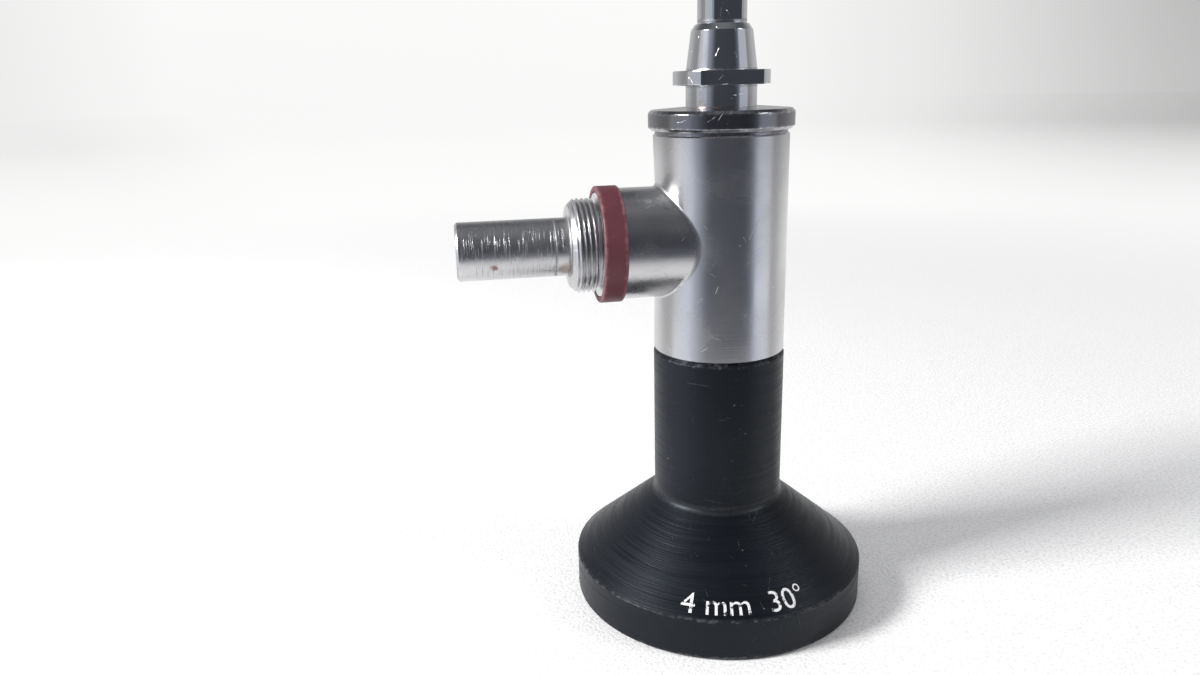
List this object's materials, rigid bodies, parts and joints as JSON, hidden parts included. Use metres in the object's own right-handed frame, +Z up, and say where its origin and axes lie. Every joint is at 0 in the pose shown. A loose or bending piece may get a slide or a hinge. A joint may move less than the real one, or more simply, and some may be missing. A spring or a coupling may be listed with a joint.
{
  "type": "rigid endoscope",
  "caption": "Rigid endoscope standing on its black eyepiece: steel body with a side light post and a dark red band, sheath cone and a long thin shaft with a slanted tip.",
  "frame": {"origin": "centre of the eyepiece's rim face, on the optical axis, at the level of the surface it stands on", "axes": "+Z up along the optical axis, from the eyepiece to the tip; the light post points along -X, and the slanted tip looks up and towards +X"},
  "size_m": [0.0432, 0.0318, 0.2371],
  "materials": {
    "black_cup": "turned black, satin",
    "black_metal": "matt black",
    "satin_steel": "satin, scratched",
    "polished_steel": "polished",
    "red_band": "matt dark red",
    "seal_rubber": "smooth black",
    "optical_glass": "polished clear",
    "fibre_glass": "potted glass fibres"
  },
  "bodies": {
    "root": {"barrel_o_ring": "seal_rubber", "body_cap": "polished_steel", "cap_o_ring": "seal_rubber", "cell_retaining_ring": "black_metal", "colour_ring": "red_band", "distal_window": "optical_glass", "eyepiece_cup": "black_cup", "eyepiece_window": "optical_glass", "fibre_ferrule": "satin_steel", "field_stop": "black_metal", "light_fibres": "fibre_glass", "light_post": "satin_steel", "light_post_o_ring": "seal_rubber", "main_body": "satin_steel", "objective_lens": "optical_glass", "objective_spacer": "black_metal", "ocular_cell": "black_metal", "ocular_crown_lens": "optical_glass", "ocular_flint_lens": "optical_glass", "ocular_tube": "satin_steel", "optics_tube": "satin_steel", "optics_tube_mount": "black_metal", "rod_lens_1": "optical_glass", "rod_lens_2": "optical_glass", "rod_lens_3": "optical_glass", "rod_lens_4": "optical_glass", "rod_lens_5": "optical_glass", "rod_lens_6": "optical_glass", "rod_spacer_1": "black_metal", "rod_spacer_2": "black_metal", "rod_spacer_3": "black_metal", "rod_spacer_4": "black_metal", "rod_spacer_5": "black_metal", "rod_spacer_6": "black_metal", "rod_spacer_7": "black_metal", "shaft_stem": "polished_steel", "shaft_tube": "polished_steel", "sheath_coupling": "polished_steel", "stop_spacer": "black_metal", "view_prism": "optical_glass", "window_gasket": "seal_rubber", "window_retaining_ring": "black_metal"}
  },
  "joints": []
}
